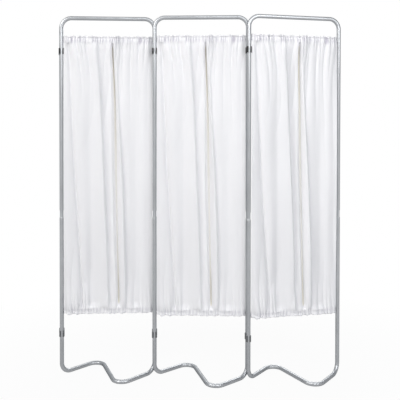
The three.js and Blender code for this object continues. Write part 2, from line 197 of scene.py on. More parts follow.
def panel_places(scene):
    """Where each panel's middle stands on the floor, in the frame of the whole screen."""
    stand = scene.screen_stand
    half = scene.screen_frame.leg_spacing / 2
    left, right = at(-half, 0, 0), at(half, 0, 0)
    seam = across_seam(scene)
    middle_1 = left + seam + Matrix.Rotation(stand.panel_1_turn, 3, UP) @ left
    middle_3 = right - seam + Matrix.Rotation(stand.panel_3_turn, 3, UP) @ right
    return {
        "panel_1": turned_place(middle_1, stand.panel_1_turn),
        "panel_2": Matrix.Identity(4),
        "panel_3": turned_place(middle_3, stand.panel_3_turn),
    }


def clip_places(scene):
    """Where each pair of clips stands, with its first jaw about the leg."""
    stand = scene.screen_stand
    half = scene.screen_frame.leg_spacing / 2
    outer_leg = panel_places(scene)["panel_1"] @ at(-half, 0, 0)
    return {
        "seam_1": turned_place(at(-half, 0, 0), stand.seam_turn),
        "seam_2": turned_place(at(half, 0, 0) - across_seam(scene), stand.seam_turn),
        "outer": turned_place(outer_leg, stand.outer_clip_turn),
    }


# Mesh helpers

# Points are merged when they are closer than this share of a piece's thickness
MERGE_SHARE = 1e-3


def linked(name, data):
    """An object of the scene that holds the data."""
    added = bpy.data.objects.new(name, data)
    bpy.context.scene.collection.objects.link(added)
    return added


def piece_from(bm, name, material, place, sharp_degrees=40):
    """Makes an object of a bmesh that has been put in its place."""
    bmesh.ops.transform(bm, matrix=place, verts=bm.verts)
    mesh = bpy.data.meshes.new(name)
    bm.to_mesh(mesh)
    bm.free()
    mesh.materials.append(material)
    mesh.shade_smooth()
    mesh.set_sharp_from_angle(angle=math.radians(sharp_degrees))
    return linked(name, mesh)


def hand_over(piece, node, body):
    """Lets a piece stand for a CAD node and move with its body."""
    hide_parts(node)
    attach(piece, body)


def remember_stock(bm):
    """Keeps each point's place on the straight stock, which the drawing lines follow."""
    stock = bm.verts.layers.float_vector.new("stock")
    for vertex in bm.verts:
        vertex[stock] = vertex.co


def made_of(geometry, kind):
    """The points, edges or faces among what an operator returns."""
    return [element for element in geometry if isinstance(element, kind)]


def level_edges(bm, rise):
    """The edges that rise by less than a given height."""
    return [edge for edge in bm.edges if abs(edge.verts[0].co.z - edge.verts[1].co.z) < rise]


def round_edges(bm, edges, offset, segments):
    """Rounds edges off over a number of faces."""
    bmesh.ops.bevel(
        bm,
        geom=edges,
        offset=offset,
        segments=segments,
        affect="EDGES",
        profile=0.5,
        material=-1,
    )


# Tubes

# The angle from ring to ring in a tube's bend
BEND_STEP = math.radians(5)

# Rings over the shoulder where the lower tube is reduced to its neck
SHOULDER_RINGS = 8


def bent_line(corners, radius):
    """Points and directions down the middle of a tube whose corners are bent to one radius."""
    runs = [(end - start).normalized() for start, end in zip(corners, corners[1:])]
    stations = [(corners[0], runs[0])]
    for corner, before, after in zip(corners[1:], runs, runs[1:]):
        turn = before.angle(after)
        if turn < BEND_STEP / 2:
            stations.append((corner, before))
            continue
        axis = before.cross(after).normalized()
        start = corner - before * radius * math.tan(turn / 2)
        centre = start + axis.cross(before) * radius
        count = max(2, round(turn / BEND_STEP))
        for i in range(count + 1):
            part = Matrix.Rotation(turn * i / count, 3, axis)
            stations.append((centre + part @ (start - centre), part @ before))
    stations.append((corners[-1], runs[-1]))
    return stations


def draw_wall(bm, stations, radii, sides):
    """Draws one wall of a tube out along its line and returns the edges at its two ends."""
    stock = bm.verts.layers.float_vector["stock"]
    point, direction = stations[0]
    heading = UP.rotation_difference(direction)
    ring = bmesh.ops.create_circle(bm, segments=sides, radius=radii[0])["verts"]
    for vertex in ring:
        vertex[stock] = vertex.co
    edges = list(dict.fromkeys(edge for vertex in ring for edge in vertex.link_edges))
    first = edges
    here = Matrix.LocRotScale(point, heading, Vector.Fill(3, 1))
    bmesh.ops.transform(bm, matrix=here, verts=ring)
    run = 0
    for (start, before), (end, after), radius in zip(stations, stations[1:], radii[1:]):
        heading = before.rotation_difference(after) @ heading
        there = Matrix.LocRotScale(end, heading, Vector.Fill(3, radius / radii[0]))
        drawn = bmesh.ops.extrude_edge_only(bm, edges=edges)["geom"]
        ring = made_of(drawn, bmesh.types.BMVert)
        edges = [edge for edge in made_of(drawn, bmesh.types.BMEdge) if edge.is_boundary]
        bmesh.ops.transform(bm, matrix=there @ here.inverted(), verts=ring)
        run += (end - start).length
        for vertex in ring:
            vertex[stock] = (vertex[stock].x, vertex[stock].y, run)
        here = there
    return first, edges


def tube(stations, radii, sizes):
    """A tube along its line, open at both ends, with its end edges rounded."""
    bm = bmesh.new()
    bm.verts.layers.float_vector.new("stock")
    outer_ends = draw_wall(bm, stations, radii, sizes.sides)
    bore_ends = draw_wall(bm, stations, [radius - sizes.tube_wall for radius in radii], sizes.sides)
    for outer_end, bore_end in zip(outer_ends, bore_ends):
        bmesh.ops.bridge_loops(bm, edges=outer_end + bore_end)
    bmesh.ops.recalc_face_normals(bm, faces=bm.faces)
    rims = [edge for end in (*outer_ends, *bore_ends) for edge in end]
    round_edges(bm, rims, sizes.tube_wall / 4, 2)
    return bm


def upper_tube(sizes):
    """The upside-down U of the upper legs and the top bar."""
    half = sizes.leg_spacing / 2
    bar = sizes.height - sizes.tube_radius
    corners = [
        at(-half, 0, sizes.splice_height),
        at(-half, 0, bar),
        at(half, 0, bar),
        at(half, 0, sizes.splice_height),
    ]
    stations = bent_line(corners, sizes.bend_radius)
    return tube(stations, [sizes.tube_radius] * len(stations), sizes)


def swaged_radius(sizes, height):
    """Outer radius of the lower tube, which is reduced to a neck over its shoulder."""
    neck = sizes.tube_radius - sizes.tube_wall - sizes.fit_gap
    below = (sizes.splice_height - sizes.neck_shown - height) / sizes.shoulder
    return neck + (sizes.tube_radius - neck) * eased(below)


def lower_tube(sizes):
    """The lower legs with their necks, and the foot that runs in a wave from leg to leg."""
    half = sizes.leg_spacing / 2
    corner_x = half - sizes.foot_corner_share * sizes.leg_spacing
    floor = sizes.tube_radius
    shoulder_top = sizes.splice_height - sizes.neck_shown
    heights = [sizes.splice_height + sizes.neck_engagement, shoulder_top + sizes.shoulder / 2]
    heights += [shoulder_top - sizes.shoulder * i / SHOULDER_RINGS for i in range(SHOULDER_RINGS + 1)]
    heights.append(shoulder_top - sizes.shoulder * 3 / 2)
    foot = [
        at(-half, 0, floor),
        at(-corner_x, sizes.foot_reach, floor),
        at(corner_x, -sizes.foot_reach, floor),
        at(half, 0, floor),
    ]
    legs = [[at(side * half, 0, height) for height in heights] for side in (-1, 1)]
    stations = bent_line([*legs[0], *foot, *reversed(legs[1])], sizes.bend_radius)
    return tube(stations, [swaged_radius(sizes, point.z) for point, _ in stations], sizes)


class SCREEN_OT_frames(bpy.types.Operator):
    """Adds the upper and lower tube frame of every panel"""
    bl_idname = "folding_screen.frames"
    bl_label = "Add Tube Frames"

    def execute(self, context):
        sizes = context.scene.screen_frame
        material = drawn_aluminium(context.scene.screen_finishes)
        for panel, place in panel_places(context.scene).items():
            for name, shape in (("upper_frame", upper_tube), ("lower_frame", lower_tube)):
                piece = piece_from(shape(sizes), f"{panel}_{name}_tube", material, place)
                hand_over(piece, f"{panel}_{name}", panel)
        return {"FINISHED"}


# Rivets

def rivet(sizes):
    """A blind rivet's head, turned about Z with its foot at the origin and dished in the middle.
    Its outline is written in shares of the head's radius and height."""
    bm = bmesh.new()
    radius, height = sizes.rivet_radius, sizes.rivet_height
    dish = [(0, 0.5), (0.28, 0.5), (0.36, 0.72), (0.46, 0.98)]
    dome = [(0.6, 0.92), (0.82, 0.62), (0.97, 0.2), (1, 0), (0.9, -0.2), (0, -0.2)]
    points = [bm.verts.new((out * radius, 0, up * height)) for out, up in dish + dome]
    edges = [bm.edges.new(pair) for pair in zip(points, points[1:])]
    bmesh.ops.spin(
        bm,
        geom=[*points, *edges],
        cent=(0, 0, 0),
        axis=UP,
        dvec=(0, 0, 0),
        angle=math.tau,
        steps=32,
        use_merge=True,
    )
    bmesh.ops.remove_doubles(bm, verts=bm.verts, dist=radius * MERGE_SHARE)
    bmesh.ops.recalc_face_normals(bm, faces=bm.faces)
    remember_stock(bm)
    return bm


class SCREEN_OT_rivets(bpy.types.Operator):
    """Adds the rivets that hold each splice"""
    bl_idname = "folding_screen.rivets"
    bl_label = "Add Splice Rivets"

    def execute(self, context):
        sizes = context.scene.screen_frame
        material = rivet_aluminium(context.scene.screen_finishes)
        rise = sizes.splice_height + sizes.rivet_rise
        behind = Matrix.Rotation(math.radians(-90), 4, "X")
        for panel, place in panel_places(context.scene).items():
            for name, side in (("left", -1), ("right", 1)):
                foot = at(side * sizes.leg_spacing / 2, sizes.tube_radius, rise)
                spot = place @ Matrix.Translation(foot) @ behind
                piece = piece_from(rivet(sizes), f"{panel}_{name}_rivet_head", material, spot)
                hand_over(piece, f"{panel}_{name}_rivet", panel)
        return {"FINISHED"}


# Rods

def rod_heights(scene):
    """Heights of a panel's two rods, by their names."""
    rods = scene.screen_rods
    return {"top": scene.screen_frame.height - rods.top_drop, "bottom": rods.bottom_height}


class SCREEN_OT_rods(bpy.types.Operator):
    """Adds the rods that the curtains hang on"""
    bl_idname = "folding_screen.rods"
    bl_label = "Add Curtain Rods"

    def execute(self, context):
        sizes, rods = context.scene.screen_frame, context.scene.screen_rods
        material = plated_steel(context.scene.screen_finishes)
        reach = sizes.leg_spacing / 2 - sizes.tube_radius + sizes.tube_wall + rods.end_inset
        lying = Matrix.Rotation(math.radians(90), 4, "Y")
        for panel, place in panel_places(context.scene).items():
            for name, height in rod_heights(context.scene).items():
                bm = bmesh.new()
                bmesh.ops.create_cone(
                    bm,
                    cap_ends=True,
                    segments=32,
                    radius1=rods.radius,
                    radius2=rods.radius,
                    depth=2 * reach,
                )
                round_edges(bm, level_edges(bm, reach), rods.end_rounding, 3)
                remember_stock(bm)
                spot = place @ Matrix.Translation(at(0, 0, height)) @ lying
                piece = piece_from(bm, f"{panel}_{name}_rod_bar", material, spot)
                hand_over(piece, f"{panel}_{name}_rod", panel)
        return {"FINISHED"}


# Clips

# The angle from point to point in a jaw's outline
ARC_STEP = math.radians(7)


def arc(bm, vertex, centre, turn):
    """Spins a vertex about a jaw's axis, which draws an arc of the outline, and returns its end."""
    drawn = bmesh.ops.spin(
        bm,
        geom=[vertex],
        cent=centre,
        axis=UP,
        dvec=(0, 0, 0),
        angle=turn,
        steps=max(1, round(abs(turn) / ARC_STEP)),
        use_duplicate=False,
    )
    return made_of(drawn["geom_last"], bmesh.types.BMVert)[0]


def line_to(bm, vertex, point):
    """Draws a straight line from a vertex to a point and returns its end."""
    drawn = bmesh.ops.extrude_vert_indiv(bm, verts=[vertex])["verts"][0]
    drawn.co = point
    return drawn


def jaw_point(centre, radius, turn):
    """A point on a jaw, its angle counted from the middle of the mouth, which faces -Y."""
    return centre + at(radius * math.sin(turn), -radius * math.cos(turn), 0)


def push_on_clip(sizes, tube_radius, fit_gap):
    """Two open jaws back to back, joined by a bridge: the first is about the origin."""
    inner = tube_radius + fit_gap
    outer = inner + sizes.wall
    flared = outer + sizes.lip_flare
    mouth = sizes.opening / 2
    lip = mouth + sizes.lip_turn
    flare_end = mouth + 2 * sizes.lip_turn
    bridge = math.pi - math.asin(sizes.bridge / 2 / outer)
    middle = at(0, sizes.spacing / 2, 0)
    centre = at(0, 0, 0)
    bm = bmesh.new()
    start = bm.verts.new(jaw_point(centre, outer, bridge))
    tip = arc(bm, start, centre, flare_end - bridge)
    for radius, turn in ((flared, lip), (flared, mouth), (inner, mouth)):
        tip = line_to(bm, tip, jaw_point(centre, radius, turn))
    tip = arc(bm, tip, centre, math.tau - 2 * mouth)
    for radius, turn in ((flared, -mouth), (flared, -lip), (outer, -flare_end)):
        tip = line_to(bm, tip, jaw_point(centre, radius, turn))
    arc(bm, tip, centre, flare_end - bridge)
    bmesh.ops.remove_doubles(bm, verts=bm.verts, dist=sizes.wall * MERGE_SHARE)
    bmesh.ops.spin(
        bm,
        geom=[*bm.verts, *bm.edges],
        cent=middle,
        axis=UP,
        dvec=(0, 0, 0),
        angle=math.pi,
        steps=1,
        use_duplicate=True,
    )
    loose_ends = [vertex for vertex in bm.verts if len(vertex.link_edges) == 1]
    for side in (-1, 1):
        bm.edges.new([vertex for vertex in loose_ends if vertex.co.x * side > 0])
    floor = bmesh.ops.contextual_create(bm, geom=bm.edges)["faces"]
    rise = bmesh.ops.extrude_face_region(bm, geom=floor)["geom"]
    bmesh.ops.translate(bm, vec=at(0, 0, sizes.height), verts=made_of(rise, bmesh.types.BMVert))
    bmesh.ops.recalc_face_normals(bm, faces=bm.faces)
    round_edges(bm, level_edges(bm, sizes.height / 2), sizes.edge_rounding, 2)
    bmesh.ops.translate(bm, vec=at(0, 0, -sizes.height / 2), verts=bm.verts)
    return bm


class SCREEN_OT_clips(bpy.types.Operator):
    """Adds the push-on clips that the panels hinge on"""
    bl_idname = "folding_screen.clips"
    bl_label = "Add Hinge Clips"

    def execute(self, context):
        sizes, tubes = context.scene.screen_clips, context.scene.screen_frame
        colours = context.scene.screen_finishes
        heights = {"upper": tubes.height - sizes.upper_drop, "lower": sizes.lower_height}
        materials = {
            "upper": moulded_plastic("moulded_black_plastic", colours.plastic),
            # The lower clips' plastic is a lighter grey than the upper clips'
            "lower": moulded_plastic("lower_clip_grey_plastic", colours.lower_clip_plastic),
        }
        for pair, place in clip_places(context.scene).items():
            for level, height in heights.items():
                bm = push_on_clip(sizes, tubes.tube_radius, tubes.fit_gap)
                spot = place @ Matrix.Translation(at(0, 0, height))
                piece = piece_from(bm, f"{pair}_{level}_clip_moulding", materials[level], spot)
                body = f"{pair}_{level}_clip" if pair == "outer" else f"{pair}_clips"
                hand_over(piece, f"{pair}_{level}_clip", body)
        return {"FINISHED"}


# Curtains

# A long crease in a curtain. across is its place between the curtain's edges and front how far it
# stands out towards the front, in fold depths, each given at the hem, a quarter, a half and three
# quarters up, and at the heading. soft is how gently the cloth turns at it.
Crease = namedtuple("Crease", "across front soft")

CREASES = (
    Crease((0, 0, 0, 0, 0), (0.2, 0.3, 0.35, 0.35, 0.15), 0.02),
    Crease((0.1, 0.08, 0.055, 0.04, 0.03), (0.1, 0.18, 0.2, 0.2, 0.1), 0.03),
    Crease((0.19, 0.15, 0.1, 0.068, 0.04), (0.05, 0, 0, 0, -0.1), 0.008),
    Crease((0.206, 0.166, 0.116, 0.084, 0.056), (-0.4, -0.48, -0.48, -0.42, -0.3), 0.004),
    Crease((0.228, 0.19, 0.142, 0.109, 0.083), (0.1, 0.1, 0.1, 0.1, 0.1), 0.01),
    Crease((0.262, 0.245, 0.22, 0.2, 0.17), (0.25, 0.6, 0.65, 0.5, 0.2), 0.04),
    Crease((0.3, 0.3, 0.3, 0.29, 0.29), (-0.5, -0.1, 0.1, 0.05, -0.3), 0.022),
    Crease((0.42, 0.4, 0.37, 0.35, 0.33), (0.35, 0.35, 0.4, 0.4, 0.3), 0.05),
    Crease((0.503, 0.482, 0.45, 0.418, 0.378), (0.5, 0.65, 0.75, 0.7, 0.4), 0.006),
    Crease((0.518, 0.497, 0.465, 0.433, 0.391), (0, 0.05, 0.1, 0.1, -0.2), 0.006),
    Crease((0.565, 0.55, 0.53, 0.51, 0.475), (-0.3, -0.3, -0.25, -0.05, 0.1), 0.03),
    Crease((0.6, 0.57, 0.548, 0.544, 0.537), (0.1, 0.1, 0.1, 0.25, 0.45), 0.008),
    Crease((0.609, 0.585, 0.564, 0.558, 0.545), (-0.62, -0.6, -0.6, -0.6, -0.62), 0.005),
    Crease((0.622, 0.606, 0.593, 0.58, 0.551), (-0.75, -0.68, -0.68, -0.72, -0.75), 0.004),
    Crease((0.638, 0.632, 0.622, 0.606, 0.563), (0.2, 0.1, 0.15, 0.25, 0.5), 0.01),
    Crease((0.695, 0.682, 0.654, 0.61, 0.585), (0.45, 0.65, 0.65, 0.5, 0.3), 0.006),
    Crease((0.712, 0.699, 0.671, 0.627, 0.602), (-0.1, -0.05, -0.05, 0, 0), 0.008),
    Crease((0.76, 0.75, 0.74, 0.71, 0.69), (0.1, 0, 0.05, 0.15, 0.2), 0.04),
    Crease((0.82, 0.815, 0.81, 0.81, 0.8), (-0.5, -0.45, -0.35, -0.25, -0.1), 0.03),
    Crease((0.9, 0.9, 0.9, 0.9, 0.9), (0.1, 0.35, 0.5, 0.45, 0.2), 0.03),
    Crease((0.965, 0.965, 0.965, 0.965, 0.965), (0, 0.22, 0.35, 0.3, 0.1), 0.015),
    Crease((1, 1, 1, 1, 1), (0.1, 0.35, 0.5, 0.45, 0.2), 0.02),
)

# Gathers that fade away from a rod: how many there are across the curtain, their depth as a share
# of the pucker depth, and how far they reach into the cloth, as a share of the curtain's drop.
GatherBand = namedtuple("GatherBand", "count depth_share reach_share")

TOP_GATHERS = (GatherBand(31, 0.9, 0.018), GatherBand(15, 1.5, 0.09), GatherBand(7, 2.4, 0.2))
HEM_GATHERS = (GatherBand(29, 0.9, 0.016), GatherBand(14, 1.5, 0.065), GatherBand(7, 1.5, 0.14))

# A gather's lobes wander and differ in size, between the least and the greatest. A lower power
# makes them rounder.
LOBE_WANDER = 1.6
LOBE_VARIATION = 1.5
LEAST_LOBE = 0.2
GREATEST_LOBE = 1.8
LOBE_POWER = 0.8

# How sharply a band of gathers fades at its reach, and below which share it is left out
FADE_POWER = 1.3
FAINTEST_SHARE = 0.01

# The painted shade of a pinch reaches this far from a rod, as a share of the curtain's drop. It is
# kept below zero in the fold depths, down to its own depth.
PINCH_SHADE_REACH_SHARE = 0.011
PINCH_SHADE_DEPTH = 2

# How steeply the gathers rise from the curtain's side edges, where they have no depth
SIDE_RISE = 25

# How far a pocket's back hem reaches past its rod, as a share of the pocket's reach
BACK_HEM_SHARE = 1.3

# Where the noise starts for the curtains, and how much further on it starts for the hem's gathers
CURTAIN_SEED = 3
HEM_SEED = 40

# A line across the cloth, with its height and its distance behind the rods' plane. outward is which
# way the gathers stand out (-1 to the front), with gather_share of their depth. edge_share is its
# share of the free edge's unevenness, rows the number of rows to the next line, and hangs is true
# between the two pockets.
ClothLine = namedtuple(
    "ClothLine", "height off_plane gather_share outward edge_share rows hangs", defaults=(False,)
)

# One row of the cloth, with a line's first five values. free_share is 0 at the pockets, which hold
# the cloth to the rods, and 1 where the long folds stand freely.
ClothRow = namedtuple("ClothRow", "height off_plane gather_share outward edge_share free_share")


def between(values, up):
    """A smooth value between five that are evenly spaced from the hem to the heading."""
    last = len(values) - 1
    place = limited(up, 0, 1) * last
    i = min(int(place), last - 1)
    part = place - i
    before, start, end, after = (values[limited(i + k, 0, last)] for k in (-1, 0, 1, 2))
    slope_start, slope_end = (end - before) / 2, (after - start) / 2
    rest = 1 - part
    return (
        start * (1 + 2 * part) * rest ** 2
        + end * (1 + 2 * rest) * part ** 2
        + slope_start * part * rest ** 2
        - slope_end * rest * part ** 2
    )


def fold_profile(up):
    """The curtain's folds at one height, as the turns that its straight flanks are joined by."""
    across = [between(crease.across, up) for crease in CREASES]
    front = [between(crease.front, up) for crease in CREASES]
    slopes = [(b - a) / (v - u) for a, b, u, v in zip(front, front[1:], across, across[1:])]
    turns = [
        (place, after - before, crease.soft)
        for place, before, after, crease in zip(across[1:], slopes, slopes[1:], CREASES[1:])
    ]
    return front[0], slopes[0], turns


def fold_front(profile, place):
    """How far the folds stand out at a place across the curtain, in fold depths."""
    start, first_slope, turns = profile
    front = start + first_slope * place
    for crease_place, turn, soft in turns:
        past = place - crease_place
        front += turn * (past + math.sqrt(past * past + soft * soft)) / 2
    return front


def gathers(bands, place, distance, seed):
    """The small folds that run out from a rod, in pucker depths: round lobes between pinches. Also
    how strongly painted shade darkens the cloth's colour in the pinches there, from 0 to 1."""
    total, pinch_shade_mask = 0, 0
    near = math.exp(-((distance / PINCH_SHADE_REACH_SHARE) ** 2))
    for band in bands:
        reach = math.exp(-((distance / band.reach_share) ** FADE_POWER))
        if reach < FAINTEST_SHARE:
            continue
        wander = noise.noise(at(place * band.count / 3, distance * 3, seed + band.count))
        variation = noise.noise(at(place * band.count / 2, seed, band.count))
        size = limited(1 + LOBE_VARIATION * variation, LEAST_LOBE, GREATEST_LOBE)
        lobe = abs(math.sin(math.pi * (band.count * place + LOBE_WANDER * wander)))
        total += band.depth_share * size * reach * lobe ** LOBE_POWER
        if band is bands[0]:
            # Painted shade: how far the cloth's colour darkens in this band's pinches
            pinch_shade_mask = size * near * (1 - lobe)
    return total, min(pinch_shade_mask, 1)


def sway(place, up, seed):
    """The broad unevenness of the hanging cloth, in fold depths."""
    return 0.5 * noise.noise(at(place * 3, up * 2.5, seed))


def raggedness(place, seed):
    """The coarse and fine unevenness of a free edge, of which the fine is weaker."""
    coarse = noise.noise(at(place * 22, seed, 5))
    fine = noise.noise(at(place * 60, seed, 9))
    return coarse + 0.6 * fine


def cloth_rows(scene):
    """Rows of the cloth, from the back hem of the heading over the top rod, down the front and
    round the bottom rod to its back hem."""
    sizes, rods = scene.screen_curtains, scene.screen_rods
    top, hem = rod_heights(scene)["top"], rod_heights(scene)["bottom"]
    # How far a layer lies off the rods' plane: sewn to another, round a rod, and hanging from it
    pinch = sizes.thickness * 1.4
    clear = rods.radius + sizes.thickness
    hang = clear * 0.8
    reach = sizes.pocket_reach
    back_hem = reach * BACK_HEM_SHARE
    # Over these distances from a rod the hanging sheet comes back towards the rods' plane
    near, far = reach * 4, reach * 12
    above = rods.radius * 2
    rise = sizes.header_rise
    drop = sizes.hem_drop
    fold = sizes.thickness * 1.5
    lines = [
        ClothLine(top - back_hem, pinch - hang, 1, -1, 0, 2),
        ClothLine(top - reach, pinch - hang, 1, -1, 0, 6),
        ClothLine(top, clear, 0.6, 0.6, 0, 5),
        ClothLine(top + above, pinch, 0.9, -0.6, 0, 5),
        ClothLine(top + rise - fold, pinch * 1.4, 1.2, -1, 1, 1),
        ClothLine(top + rise, 0, 1.2, -1, 1, 1),
        ClothLine(top + rise - fold, -pinch * 1.4, 1.2, -1, 1, 5),
        ClothLine(top + above, -pinch, 0.9, -1, 0, 5),
        ClothLine(top, -clear, 0.8, -1, 0, 6),
        ClothLine(top - reach, -hang - pinch, 1, -1, 0, 10, hangs=True),
        ClothLine(top - near, -hang, 1, -1, 0, 16, hangs=True),
        ClothLine(top - far, -pinch, 1, -1, 0, 88, hangs=True),
        ClothLine(hem + far, -pinch, 1, -1, 0, 16, hangs=True),
        ClothLine(hem + near, -hang, 1, -1, 0, 10, hangs=True),
        ClothLine(hem + reach, -hang - pinch, 1, -1, 0, 6),
        ClothLine(hem, -clear, 0.8, -1, 0.2, 6),
        ClothLine(hem - drop * 0.85, -clear * 1.4, 1, -1, 1, 2),
        ClothLine(hem - drop, -clear * 0.6, 1, -0.7, 1, 5),
        ClothLine(hem, clear, 0.6, 0.6, 0.2, 6),
        ClothLine(hem + reach, pinch - hang, 1, -1, 0, 2),
        ClothLine(hem + back_hem, pinch - hang, 1, -1, 0, 1),
    ]
    rows = []
    for line, following in zip(lines, lines[1:] + lines[-1:]):
        for k in range(line.rows):
            part = k / line.rows
            height = line.height + (following.height - line.height) * part
            others = [a + (b - a) * eased(part) for a, b in zip(line[1:5], following[1:5])]
            past_seam = min(top - reach - height, height - hem - reach)
            free_share = limited(past_seam / (reach * 2), 0, 1) if line.hangs else 0
            rows.append(ClothRow(height, *others, free_share))
    return rows


def curtain(scene, seed):
    """A gathered curtain in the frame of its panel, with the cut cloth's own coordinates, and the
    length that its cloth was cut to."""
    sizes = scene.screen_curtains
    top, hem = rod_heights(scene)["top"], rod_heights(scene)["bottom"]
    tubes = scene.screen_frame
    half = tubes.leg_spacing / 2 - tubes.tube_radius - sizes.side_gap
    rows = cloth_rows(scene)
    runs = [0]
    for one, other in zip(rows, rows[1:]):
        runs.append(runs[-1] + math.hypot(other.height - one.height, other.off_plane - one.off_plane))
    ups = [(row.height - hem) / (top - hem) for row in rows]
    profiles = [fold_profile(up) for up in ups]

    bm = bmesh.new()
    bmesh.ops.create_grid(bm, x_segments=sizes.columns, y_segments=len(rows) - 1, size=1)
    # fold_depth holds how deep the cloth lies in a valley, which the cloth's material turns into
    # painted shade; below zero it holds the painted shade of the pinches at the rods
    depth = bm.verts.layers.float.new("fold_depth")
    held = bm.verts.layers.deform.verify()
    cut = {}
    for vertex in bm.verts:
        place = (vertex.co.x + 1) / 2
        i = round((1 - vertex.co.y) / 2 * (len(rows) - 1))
        row, up = rows[i], ups[i]
        inward = min(1, place * SIDE_RISE, (1 - place) * SIDE_RISE)
        front = fold_front(profiles[i], place) * math.sqrt(row.free_share)
        top_pucker, top_painted_pinch = gathers(TOP_GATHERS, place, abs(1 - up), seed)
        hem_pucker, hem_painted_pinch = gathers(HEM_GATHERS, place, abs(up), seed + HEM_SEED)
        pucker = (top_pucker + hem_pucker) * row.gather_share * inward
        fold = front + sway(place, up, seed) * row.free_share * inward
        off = row.off_plane - sizes.fold_depth * fold
        height = row.height + sizes.ragged_edge * raggedness(place, seed) * row.edge_share
        vertex.co = (half * (2 * place - 1), off + sizes.pucker_depth * pucker * row.outward, height)
        # Painted shade of the pinches, stored below zero in the fold depths
        pinch = sizes.top_pinch_shade * top_painted_pinch + sizes.hem_pinch_shade * hem_painted_pinch
        vertex[depth] = max(-front, 0) - PINCH_SHADE_DEPTH * pinch
        vertex[held][0] = 1 - (1 - sizes.middle_hold) * eased(row.free_share)
        cut[vertex] = (place * sizes.cut_width, runs[-1] - runs[i])
    flat = bm.loops.layers.uv.new("cut_cloth")
    for face in bm.faces:
        for loop in face.loops:
            loop[flat].uv = cut[loop.vert]
    bmesh.ops.recalc_face_normals(bm, faces=bm.faces)
    return bm, runs[-1]


def drape(piece, sizes):
    """Lets the cloth take its own width between the rods' pockets, which hold it: it buckles into
    the gathers and folds of the wider cloth. Then it keeps that shape."""
    mesh = piece.data
    modelled = [vertex.co.copy() for vertex in mesh.vertices]
    cut = {}
    for loop in mesh.loops:
        cut[loop.vertex_index] = mesh.uv_layers["cut_cloth"].uv[loop.index].vector
    piece.vertex_groups.new(name="held")
    piece.shape_key_add(name="Basis")
    flat = piece.shape_key_add(name="cut_cloth")
    for index, (across, up) in cut.items():
        flat.data[index].co = (across, 0, up)
    modifier = piece.modifiers.new("Drape", "CLOTH")
    cloth = modifier.settings
    cloth.vertex_group_mass = "held"
    cloth.rest_shape_key = flat
    cloth.quality = 5
    cloth.mass = 0.15
    cloth.tension_stiffness = 12
    cloth.compression_stiffness = 12
    cloth.shear_stiffness = 4
    cloth.bending_stiffness = 0.5
    cloth.tension_damping = 8
    cloth.compression_damping = 8
    cloth.shear_damping = 8
    cloth.bending_damping = 1
    cloth.air_damping = 2
    modifier.collision_settings.use_collision = False
    modifier.point_cache.frame_start = 1
    modifier.point_cache.frame_end = sizes.drape_steps
    scene = bpy.context.scene
    for frame_number in range(1, sizes.drape_steps + 1):
        scene.frame_set(frame_number)
    draped = piece.evaluated_get(bpy.context.evaluated_depsgraph_get())
    places = [vertex.co.copy() for vertex in draped.data.vertices]
    scene.frame_set(1)
    piece.modifiers.remove(modifier)
    piece.shape_key_clear()
    side = max(place.x for place in modelled)
    for vertex, place, start in zip(mesh.vertices, places, modelled):
        moved = place - start
        if moved.length > sizes.drape_limit:
            moved *= sizes.drape_limit / moved.length
        vertex.co = start + moved
        vertex.co.x = limited(vertex.co.x, -side, side)
    mesh.update()


class SCREEN_OT_curtains(bpy.types.Operator):
    """Adds the gathered curtains"""
    bl_idname = "folding_screen.curtains"
    bl_label = "Add Curtains"

    def execute(self, context):
        scene = context.scene
        sizes = scene.screen_curtains
        bm, cut_length = curtain(scene, CURTAIN_SEED)
        material = curtain_cloth(scene.screen_finishes, sizes, cut_length)
        first = piece_from(bm, "curtain_pattern", material, Matrix.Identity(4), 180)
        drape(first, sizes)
        for panel, place in panel_places(scene).items():
            cloth = first.data.copy()
            cloth.name = f"{panel}_curtain_cloth"
            cloth.transform(place)
            piece = linked(f"{panel}_curtain_cloth", cloth)
            thick = piece.modifiers.new("Thickness", "SOLIDIFY")
            thick.thickness = sizes.thickness
            thick.offset = 0
            hand_over(piece, f"{panel}_curtain", panel)
        bpy.data.objects.remove(first)
        return {"FINISHED"}


# Finishes

# The middle of a noise's range, where most of its values lie
NOISE_RANGE = (0.3, 0.7)

# How close the cloth's threads lie, and how far a stitch stands out, in thread heights
WEAVE_SCALE = 320
STITCH_RISE = 2


def fill(tree, node, inputs):
    """Links or sets the inputs named."""
    for socket, value in inputs.items():
        if isinstance(value, bpy.types.NodeSocket):
            tree.links.new(value, node.inputs[socket])
        else:
            node.inputs[socket].default_value = value


def add_node(tree, kind, inputs=None, **settings):
    """Adds a node, sets it up, and links or sets the inputs named."""
    added = tree.nodes.new(kind)
    for key, value in settings.items():
        setattr(added, key, value)
    fill(tree, added, inputs or {})
    return added


def new_finish(name, metallic, specular=0.5):
    """A material with a Principled shader, and its tree and shader."""
    material = bpy.data.materials.new(name)
    material.use_nodes = True
    tree = material.node_tree
    shader = tree.nodes["Principled BSDF"]
    fill(tree, shader, {"Metallic": metallic, "Specular IOR Level": specular})
    return material, tree, shader


def solid(rgb, brightness=1):
    """A colour made lighter or darker, with no transparency."""
    return (*(part * brightness for part in rgb), 1)


def blended(tree, part, one, other):
    """A colour between two, by a socket from 0 to 1."""
    mix = add_node(tree, "ShaderNodeMix", {"Factor": part, "A": one, "B": other}, data_type="RGBA")
    return mix.outputs["Result"]


def combined(tree, operation, one, other=0):
    """A value put through one sum, alone or with another value or number."""
    return add_node(tree, "ShaderNodeMath", {0: one, 1: other}, operation=operation).outputs["Value"]


def ranged(tree, value, source, target):
    """A value stretched from one range to another, and held there."""
    stretched = add_node(tree, "ShaderNodeMapRange", {
        "Value": value,
        "From Min": source[0],
        "From Max": source[1],
        "To Min": target[0],
        "To Max": target[1],
    })
    return stretched.outputs["Result"]


